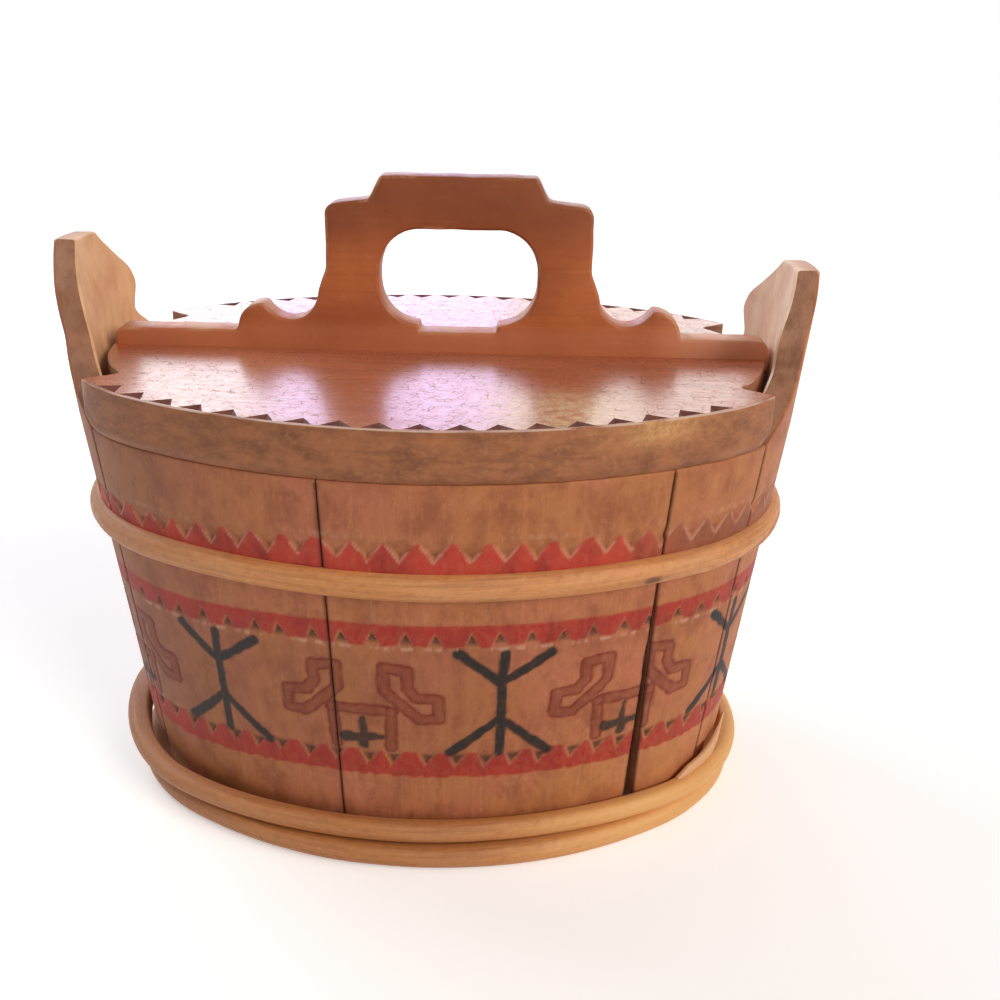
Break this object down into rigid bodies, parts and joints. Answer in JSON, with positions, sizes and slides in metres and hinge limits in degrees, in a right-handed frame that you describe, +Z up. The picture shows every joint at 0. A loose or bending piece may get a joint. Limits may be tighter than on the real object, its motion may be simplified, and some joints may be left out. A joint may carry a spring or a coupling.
{
  "type": "stave-built tine box",
  "caption": "Small oval stave-built wooden box with withy hoops, two tall ear staves and a lift-off forked lid carried by a pierced upright handle board.",
  "frame": {"origin": "middle of the foot, on the plane that the box stands on", "axes": "+X from the left ear to the right ear as seen from the front, +Y towards the back, +Z up"},
  "size_m": [0.1318, 0.096, 0.1104],
  "materials": {
    "stave_wood": "worn varnish over carved and painted bands",
    "hoop_withy": "shaved withy, satin",
    "lid_wood": "dark glossy varnish, worn at the edge",
    "handle_wood": "worn varnish",
    "bottom_wood": "bare wood",
    "peg_wood": "bare wood"
  },
  "bodies": {
    "tub": {"bottom_board": "bottom_wood", "ear_stave_left": "stave_wood", "ear_stave_right": "stave_wood", "front_stave_left": "stave_wood", "front_stave_middle": "stave_wood", "front_stave_right": "stave_wood", "back_stave_left": "stave_wood", "back_stave_middle": "stave_wood", "back_stave_right": "stave_wood", "upper_hoop": "hoop_withy", "lower_hoop_upper": "hoop_withy", "lower_hoop_lower": "hoop_withy"},
    "lid": {"lid_board": "lid_wood", "lid_handle": "handle_wood", "handle_pegs": "peg_wood"}
  },
  "joints": [
    {"name": "lid_lift", "type": "slide", "parent": "tub", "child": "lid", "axis": [0, 0, 1], "range_m": [0, 0.06]}
  ]
}
